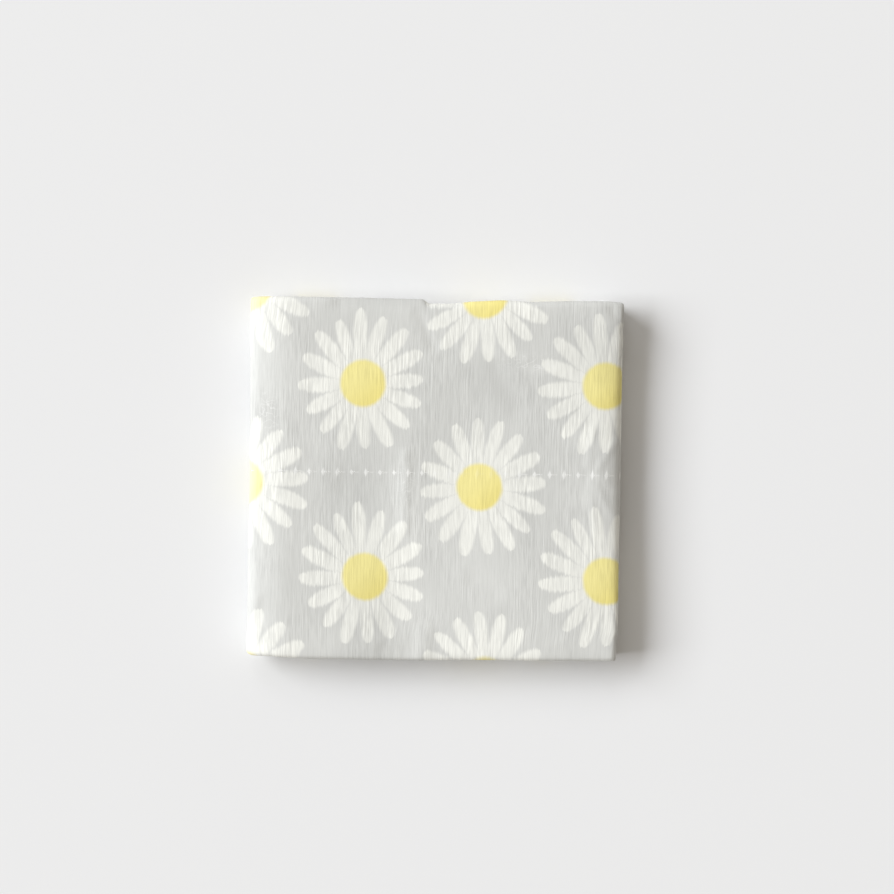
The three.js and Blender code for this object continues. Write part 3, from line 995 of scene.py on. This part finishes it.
def stitchRows(rows, name):
    steps, sides, uneven = stitching["steps"], stitching["sides"], stitching["uneven"]
    share = np.linspace(0, 1, steps + 1)
    hump = np.sin(math.pi * share)
    radius = stitching["threadRadius"] * (0.3 + 0.7 * np.sqrt(hump))
    spin = np.arange(sides) * 2 * math.pi / sides
    points, places, faces = [], [], []
    for row in rows:
        random = np.random.default_rng(row["seed"])
        for number in range(row["count"]):
            middle = row["start"] + number * row["pitch"]
            middle += random.uniform(-uneven["place"], uneven["place"])
            length = row["length"] * random.uniform(*uneven["length"])
            tilt = random.uniform(-uneven["tilt"], uneven["tilt"])
            line = row["line"] + random.uniform(-uneven["line"], uneven["line"])
            run = middle + (share - 0.5) * length
            side = line + (share - 0.5) * length * tilt
            ring = side[:, None] + radius[:, None] * np.cos(spin)
            lift = thickness / 2 + row["lift"] - stitching["sunk"]
            lift = lift + stitching["hump"] * hump[:, None] + radius[:, None] * np.sin(spin)
            if row["way"] == "across" and stitching["tightFrom"] < middle + placeX < stitching["tightTo"]:
                lift = lift - stitching["tightSink"]
            runs = np.repeat(run[:, None], sides, 1)
            across, along = (runs, ring) if row["way"] == "across" else (ring, runs)
            first = len(points) * (steps + 1) * sides
            points.append(onCloth(across, along, lift).reshape(-1, 3))
            places.append(np.stack((across + placeX, along + placeY), -1).reshape(-1, 2))
            for step in range(steps):
                for spoke in range(sides):
                    turned = (spoke + 1) % sides
                    low, high = first + step * sides, first + (step + 1) * sides
                    faces.append((low + spoke, low + turned, high + turned, high + spoke))
            faces.append(tuple(first + spoke for spoke in reversed(range(sides))))
            faces.append(tuple(first + steps * sides + spoke for spoke in range(sides)))
    points = np.concatenate(points) + clothShift
    points[:, 2] = np.maximum(points[:, 2], 0.02)  # pressed flat under the pack
    made = meshObject(name, points, faces, [materials["thread"]])
    setPlace(made, np.concatenate(places))
    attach(made, "root")
    print(name, "made:", len(faces), "faces")
    return made


seamLine = cloth["seamAt"] - placeY
seamStart = stitching["firstMark"] - placeX + stitching["seamLength"] / 2 - 0.2
seamStart %= stitching["seamPitch"]
seamRow = {"way": "across", "line": seamLine, "start": seamStart, "lift": 0, "seed": 11}
seamRow.update(pitch=stitching["seamPitch"], length=stitching["seamLength"])
seamRow["count"] = int((cloth["width"] - seamStart) / stitching["seamPitch"])
seamStitches = stitchRows([seamRow], "seamStitches")

inset, hemRows = stitching["hemInset"], []
hemWays = {"across": (cloth["width"], cloth["depth"]), "along": (cloth["depth"], cloth["width"])}
for way, (length, breadth) in hemWays.items():
    for line in (inset, breadth - inset):
        row = {"way": way, "line": line, "start": inset, "lift": cloth["hemSwell"]}
        row.update(pitch=stitching["hemPitch"], length=stitching["hemLength"])
        row.update(count=int((length - 2 * inset) / stitching["hemPitch"]) + 1, seed=30 + len(hemRows))
        hemRows.append(row)
hemStitches = stitchRows(hemRows, "hemStitches")


# Surface, light and camera

studio = {
    "floorSize": 5000,
    "floorColour": (0.845, 0.845, 0.845, 1),
    "fill": 0.318,
    "fillColour": (1.0, 0.925, 0.815, 1),  # the shadows are a little warm
    "lightDistance": 16000,
    "lightColour": (0.925, 0.955, 1.0),
}

# Soft lights: bearing is anticlockwise from +X, height is degrees above the floor
lights = [
    {"name": "softKey", "bearing": 166, "height": 37, "wide": 13800, "tall": 9000, "power": 3240},
    {"name": "softBack", "bearing": 108, "height": 40, "wide": 7000, "tall": 7000, "power": 280},
]


def buildStudio():
    half = studio["floorSize"] / 2
    corners = np.array([(-half, -half, 0), (half, -half, 0), (half, half, 0), (-half, half, 0)], float)
    material, tree, shader = startMaterial("paleSurface")
    grain = addNode(tree, "TexNoise")
    grain.inputs["Scale"].default_value = 60
    coordinates = addNode(tree, "TexCoord")
    tree.links.new(coordinates.outputs["Object"], grain.inputs["Vector"])
    feed(tree, shader.inputs["Roughness"], ramp(tree, grain.outputs["Fac"], 0.3, 0.7, 0.78, 0.88))
    shader.inputs["Base Color"].default_value = studio["floorColour"]
    shader.inputs["Specular IOR Level"].default_value = 0.1
    floor = meshObject("floor", corners, [(0, 1, 2, 3)], [material])
    floor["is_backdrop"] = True

    for row in lights:
        light = bpy.data.lights.new(row["name"], "AREA")
        light.shape = "RECTANGLE"
        light.size, light.size_y = row["wide"] * mm, row["tall"] * mm
        light.energy, light.color = row["power"], studio["lightColour"]
        lamp = bpy.data.objects.new(row["name"], light)
        bearing, height = math.radians(row["bearing"]), math.radians(row["height"])
        away = studio["lightDistance"] * mm
        level = away * math.cos(height)
        lamp.location = (level * math.cos(bearing), level * math.sin(bearing), away * math.sin(height))
        lamp.rotation_euler = (math.pi / 2 - height, 0, bearing + math.pi / 2)
        bpy.context.scene.collection.objects.link(lamp)

    world = bpy.data.worlds.new("softFill")
    world.use_nodes = True
    background = world.node_tree.nodes["Background"]
    background.inputs["Color"].default_value = studio["fillColour"]
    background.inputs["Strength"].default_value = studio["fill"]
    bpy.context.scene.world = world


view = {
    "lens": 85,
    "sensor": 36,
    "above": 570,  # from the top of the pack
    "x": 3.25,
    "y": 8.82,
    "turn": 0.8,
}


def buildCamera():
    data = bpy.data.cameras.new("camera")
    data.lens, data.sensor_width = view["lens"], view["sensor"]
    data.clip_start, data.clip_end = 0.01, 50
    camera = bpy.data.objects.new("camera", data)
    camera.location = (view["x"] * mm, view["y"] * mm, (packHeight + view["above"]) * mm)
    camera.rotation_euler = (0, 0, math.radians(view["turn"]))
    bpy.context.scene.collection.objects.link(camera)
    bpy.context.scene.camera = camera
    bpy.context.scene.view_settings.view_transform = "Standard"


buildStudio()
buildCamera()
print("surface, light and camera placed")

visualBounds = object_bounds()
sizes = {"cad": cadBounds, "visual": visualBounds}
{name: [list(corner) for corner in box] for name, box in sizes.items()}
